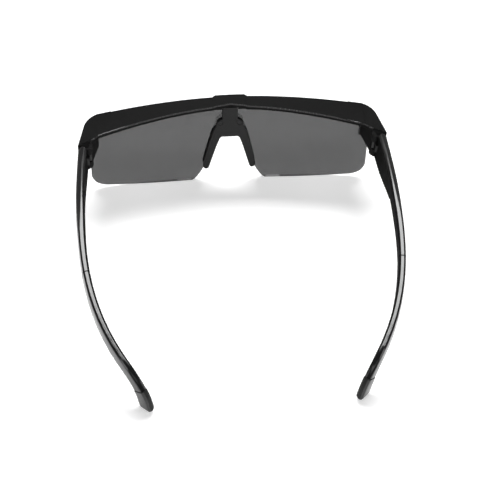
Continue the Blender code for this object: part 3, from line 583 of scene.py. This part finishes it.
bm = merged_copy("nose_bridge")
outline = [edge for edge in sharp_edges(bm, degrees=20) if runs_through(edge)]
round_edges(bm, outline, OUTLINE_ROUND, segments=4, clamp=True)
round_edges(bm, sharp_edges(bm, degrees=35), BRIDGE_ROUND, clamp=True)
dress(bm, "bridge", [BRIDGE_SATIN], "front", "nose_bridge")

# %% [markdown]
# Lenses and lens screws
#
# Each lens is cut from gently curved smoked sheet and its edge is ground and
# polished, so it needs only a small even bevel. The rim of its screw hole is
# a ring of edges too short for that bevel, so it stays as crisp as a drill
# leaves it. The blackened screws that hold the lens there are smaller than a
# grain of rice, and their rims are broken by a twentieth of a millimetre.

# %% Lenses
LENS_ROUND = 0.2 * MM
LENS_ROOM = 4.0                # more than elsewhere, because the screw hole is close
SCREW_ROUND = 0.05 * MM
SIDES = {"right": 1, "left": -1}

for side in SIDES:
    bm = merged_copy("lens_" + side)
    round_edges(bm, sharp_edges(bm), LENS_ROUND, room=LENS_ROOM)
    dress(bm, "lens_pane_" + side, [SMOKED], "front", "lens_" + side)
    bm = merged_copy("lens_screw_" + side)
    round_edges(bm, sharp_edges(bm), SCREW_ROUND)
    dress(bm, "bridge_screw_" + side, [BLACKENED], "front", "lens_screw_" + side)

# %% [markdown]
# The seams of a temple
#
# A temple is three mouldings on one steel core: the arm at the hinge, the
# sleeve behind it and the tip. They are pushed together until they touch,
# but CAD solids keep a fitting gap, through which light would shine. So the
# front end of the sleeve and of the tip is brought forward to close it. The
# end is found as the largest face that looks towards the piece ahead, and a
# seam is kept as a point and a direction, which is all that a plane needs.

# %% Seams
FITTING_GAP = 0.30 * MM        # between the CAD solids of two mouldings
SEAM_OPEN = 0.04 * MM          # what is left of it
END_FACING = 0.7               # an end looks at the piece ahead at least this much

def middle(bm):
    """The mean of all points."""
    return sum((v.co for v in bm.verts), Vector()) / len(bm.verts)


def front_end(bm, ahead):
    """A point and the normal of the flat end that faces the piece ahead."""
    toward = (middle(ahead) - middle(bm)).normalized()
    flat = [face for face in bm.faces if face.normal.dot(toward) > END_FACING]
    end = max(flat, key=lambda face: face.calc_area())
    return end.verts[0].co.copy(), end.normal.copy()


def beside(seam, verts, reach):
    """Whether all verts are within reach of a seam's plane."""
    point, facing = seam
    return all(abs((v.co - point).dot(facing)) < reach for v in verts)


def close_seam(bm, ahead):
    """Bring the front end up to the piece ahead, and give the plane between them."""
    point, facing = front_end(bm, ahead)
    end = [v for v in bm.verts if beside((point, facing), [v], WELD)]
    bmesh.ops.translate(bm, verts=end, vec=facing * (FITTING_GAP - SEAM_OPEN))
    print("closed a seam, moving", len(end), "points")
    return point + facing * (FITTING_GAP - 0.5 * SEAM_OPEN), facing


print("a seam is left", SEAM_OPEN / MM, "mm open")

# %% [markdown]
# The temples
#
# A flat runs along the top of a temple, with a chamfer on its inner side, and
# these two are what shows as a bright and a dark stripe from above. The edges
# get a small radius. The faces that look towards the head take a duller
# finish, picked by their normals: a face belongs to the inside when it looks
# inwards and stands fairly upright. The tip is softer to the touch, so its
# inside is satin instead of matt.
#
# On the real pair a seam is a fine gap that lies in shade. Here the gap is
# all but closed, so both pieces are cut once more close to the seam, and the
# thin band between the cuts takes the duller finish too, as painted shade.

# %% Temples
TEMPLE_ROUND = 0.2 * MM
SEAM_SHADE_HALF = 0.27 * MM        # the band of painted seam shade reaches this far from the seam's middle
SLOT_INSIDE_AND_SEAM_SHADE = 1
INWARD = 0.45                  # least share of the normal that points to the other temple
LEVEL = 0.5                    # most that it may point up or down
INSIDES = {"arm": MATT_BLACK, "sleeve": MATT_BLACK, "tip": BRIDGE_SATIN}

def cut_at(bm, seam):
    """Cut the skin on both sides of a seam."""
    point, facing = seam
    for reach in (-SEAM_SHADE_HALF, SEAM_SHADE_HALF):
        bmesh.ops.bisect_plane(bm, geom=bm.verts[:] + bm.edges[:] + bm.faces[:],
                               plane_co=point + facing * reach, plane_no=facing)


def looks_inward(face, outward):
    return -outward * face.normal.x > INWARD and abs(face.normal.z) < LEVEL


for side, outward in SIDES.items():
    skins = {part: merged_copy("temple_%s_%s" % (part, side)) for part in INSIDES}
    seams = [close_seam(skins["sleeve"], skins["arm"]), close_seam(skins["tip"], skins["sleeve"])]
    for part, bm in skins.items():
        round_edges(bm, sharp_edges(bm, degrees=24), TEMPLE_ROUND)
        for seam in seams:
            cut_at(bm, seam)
        bm.normal_update()
        for face in bm.faces:
            # A face in the thin band at a seam takes the duller inside finish as painted shade for
            # the seam's gap.
            in_seam_shade = any(beside(seam, face.verts, SEAM_SHADE_HALF + WELD) for seam in seams)
            if in_seam_shade or looks_inward(face, outward):
                face.material_index = SLOT_INSIDE_AND_SEAM_SHADE
        dress(bm, "%s_%s" % (part, side), [GLOSS_BLACK, INSIDES[part]], "temple_" + side,
              "temple_%s_%s" % (part, side))

# %% [markdown]
# Hidden metal
#
# The hinge screws sit in the barrels, the brass inserts round their threads,
# and the core strips run inside the temples. Their CAD meshes are fine as
# they are, so they keep their nodes and only take a better material.

# %% Hinge metal
METALS = {"hinge_screw": STEEL, "hinge_insert": BRASS, "temple_core": STRIP}

for side in SIDES:
    for node, material in METALS.items():
        materials = NODES["%s_%s" % (node, side)].data.materials
        materials.clear()
        materials.append(material)
print("metal nodes take their finish")

# %% [markdown]
# The floor
#
# White paper. Lit paper alone never quite reaches white, so it glows a
# little, to the camera and to mirroring and clear surfaces only: that
# whitens it without lighting the glasses, and its shadows stay. The glow
# grows with the distance from the glasses, so that the paper is as white at
# the horizon as it is under them.

# %% Floor
FLOOR_HALF = 3.0               # metres
FLOOR_COLOUR = 0.80
GLOW_NEAR = 0.47               # at the glasses; it is 1 far away
GLOW_START = 0.25              # metres from the middle
GLOW_WIDTH = 0.6

bm = bmesh.new()
bmesh.ops.create_grid(bm, x_segments=1, y_segments=1, size=FLOOR_HALF)
floor_mesh = bpy.data.meshes.new("floor")
bm.to_mesh(floor_mesh)
bm.free()
floor = bpy.data.objects.new("floor", floor_mesh)
bpy.context.collection.objects.link(floor)

paper = Finish("white_paper", Base_Color=grey(FLOOR_COLOUR), Roughness=0.9, Specular_IOR_Level=0.0)
distance = paper.node("VectorMath", {"operation": "LENGTH"}, output="Value", Vector=paper.on_object())
far = ((distance - GLOW_START) / GLOW_WIDTH).held()
glow = (GLOW_NEAR + (1.0 - GLOW_NEAR) * far) * paper.ray("Camera", "Glossy", "Transmission")
paper.feed(Emission_Color=paper.blend(glow, BLACK, WHITE), Emission_Strength=1.0)
floor_mesh.materials.append(paper.material)
print("floor is", 2 * FLOOR_HALF, "m wide")

# %% [markdown]
# The lights
#
# One long softbox hangs beyond the glasses and above them, where the level
# tops of the temples mirror it to the camera. Its shadow falls towards the
# viewer. A weak one behind the viewer draws the line behind the shelf. Two
# more at the sides keep the outsides of the temples from going flat when
# they are seen from there.

# %% Lights
def softbox(name, where, width, height, power):
    """A soft lamp that hangs at a place and looks at the glasses."""
    light = bpy.data.lights.new(name, "AREA")
    light.shape = "RECTANGLE"
    light.size = width
    light.size_y = height
    light.energy = power
    lamp = bpy.data.objects.new(name, light)
    lamp.location = where
    lamp.rotation_euler = (-Vector(where)).to_track_quat("-Z", "Y").to_euler()
    lamp.visible_camera = False
    bpy.context.collection.objects.link(lamp)


softbox("long_softbox", where=(0.05, 0.50, 1.20), width=1.10, height=0.40, power=18.0)
softbox("viewer_softbox", where=(0.0, -0.95, 1.00), width=1.30, height=0.50, power=3.0)
softbox("left_softbox", where=(-1.2, -0.5, 0.6), width=0.5, height=0.5, power=2.5)
softbox("right_softbox", where=(1.2, -0.5, 0.6), width=0.5, height=0.5, power=2.5)
print("four softboxes")

# %% [markdown]
# The room
#
# Round the paper the studio is dim, which is why black plastic looks black
# in product pictures. The camera sees a white backdrop all round. Mirroring
# and clear surfaces see it only as far up as a paper sweep would stand, a
# few degrees over the horizon.

# %% Room
SURROUND = 0.12                # how bright the studio is, where white is 1
SWEEP_TOP = 0.03               # sine of the height over the horizon where the sweep ends
SWEEP_FADE = 0.05

world = bpy.data.worlds.new("studio_room")
world.use_nodes = True
bpy.context.scene.world = world
room = Board(world.node_tree)
rise = room.separate("Z", room.node("TexCoord", output="Generated"))
sweep = 1.0 - ((rise - SWEEP_TOP) / SWEEP_FADE).held()
white = (room.ray("Camera") + sweep * room.ray("Glossy", "Transmission")).held()
backdrop = world.node_tree.nodes["Background"]
backdrop.inputs["Color"].default_value = WHITE
plug(world.node_tree, backdrop.inputs["Strength"], SURROUND + (1.0 - SURROUND) * white)
print("the room is dim, its backdrop white")
